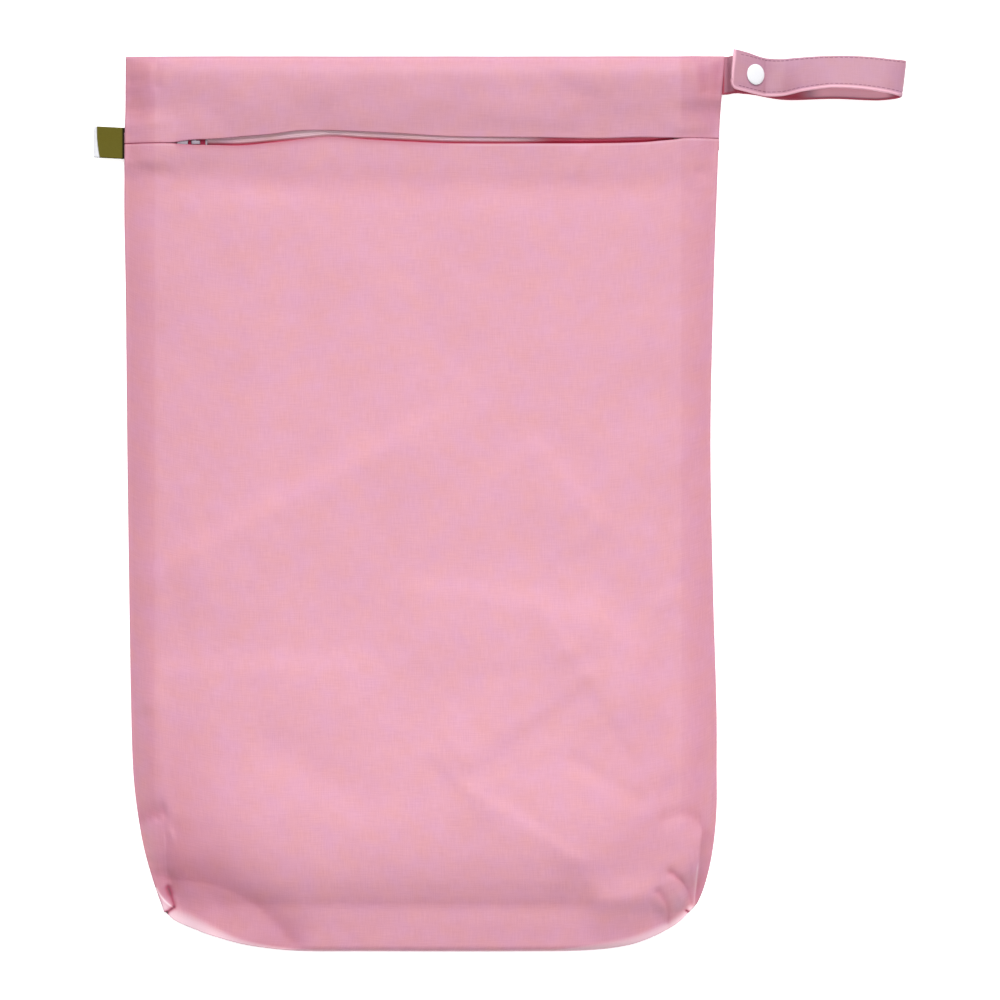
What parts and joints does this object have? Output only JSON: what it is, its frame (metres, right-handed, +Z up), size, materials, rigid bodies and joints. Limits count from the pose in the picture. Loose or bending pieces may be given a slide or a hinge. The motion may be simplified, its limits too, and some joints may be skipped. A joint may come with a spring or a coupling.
{
  "type": "hanging diaper pail bag",
  "caption": "Flat zipped cloth pail bag with a boxed bottom, a slit over a coil zip near its top, a snapped hanging strap loop and a folded side label, lying on its back.",
  "frame": {"origin": "middle of the whole outline's box, on the surface that the bag lies on", "axes": "+Z up out of the bag's front, +Y from its bottom to its zipped top, +X towards the strap"},
  "size_m": [0.4857, 0.5367, 0.0219],
  "materials": {
    "cloth": "matt pink coated polyester with a fine plain weave",
    "zip_tape": "satin grey-pink woven tape",
    "zip_coil": "pink nylon coil",
    "zip_metal": "pale grey enamelled metal",
    "strap_cloth": "folded and topstitched pink polyester",
    "snap_plastic": "glossy white moulded plastic",
    "label_ribbon": "plain olive woven ribbon with a pale end band"
  },
  "bodies": {
    "root": {"front_panel": "cloth", "top_band": "cloth", "back_panel": "cloth", "zip_tape_upper": "zip_tape", "zip_tape_lower": "zip_tape", "zip_coil": "zip_coil", "zip_slider": "zip_metal", "zip_pull": "zip_metal", "strap": "strap_cloth", "snap_cap": "snap_plastic", "snap_core": "snap_plastic", "snap_back_cap": "snap_plastic", "side_label": "label_ribbon"}
  },
  "joints": []
}
